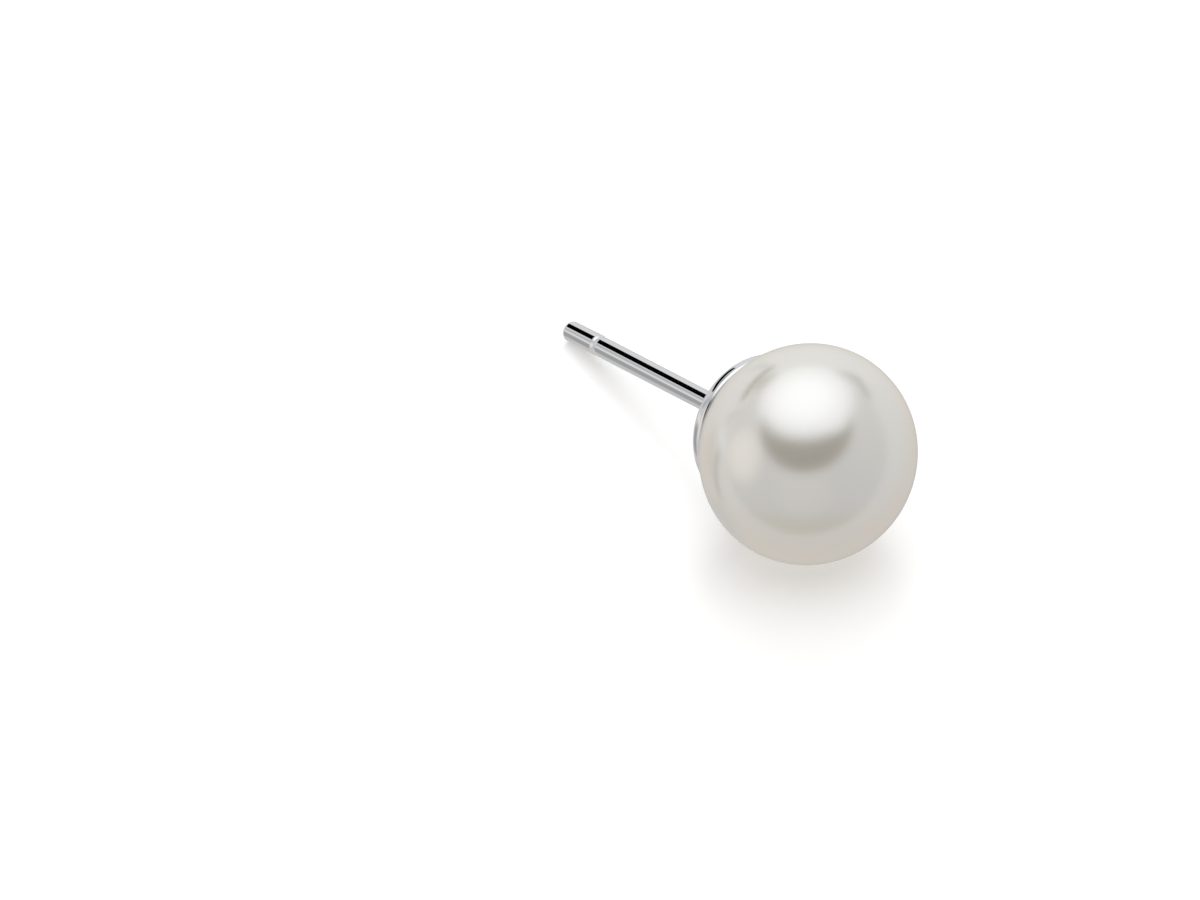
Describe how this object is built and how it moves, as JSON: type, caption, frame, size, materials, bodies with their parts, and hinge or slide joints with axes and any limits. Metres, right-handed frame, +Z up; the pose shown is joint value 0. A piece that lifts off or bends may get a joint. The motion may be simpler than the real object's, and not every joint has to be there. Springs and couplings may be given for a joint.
{
  "type": "pearl stud earring",
  "caption": "Pearl stud earring: a round white pearl glued in a shallow polished metal cup with a straight ear post that has a notch near its tip.",
  "frame": {"origin": "on the table, below the middle of the bounding box of the stud as it lies", "axes": "+Z up; the pearl's front faces -Y and the post runs towards +Y, sloping down to the table by about 14 degrees; +X is to the right seen from the pearl's front"},
  "size_m": [0.008, 0.0184, 0.008],
  "materials": {
    "pearl": "white pearl nacre with a soft deep lustre, faintly green in the middle and faintly pink towards the edge",
    "polished_metal": "mirror-polished white metal, rhodium bright"
  },
  "bodies": {
    "root": {"pearl": "pearl", "cup_and_post": "polished_metal"}
  },
  "joints": []
}
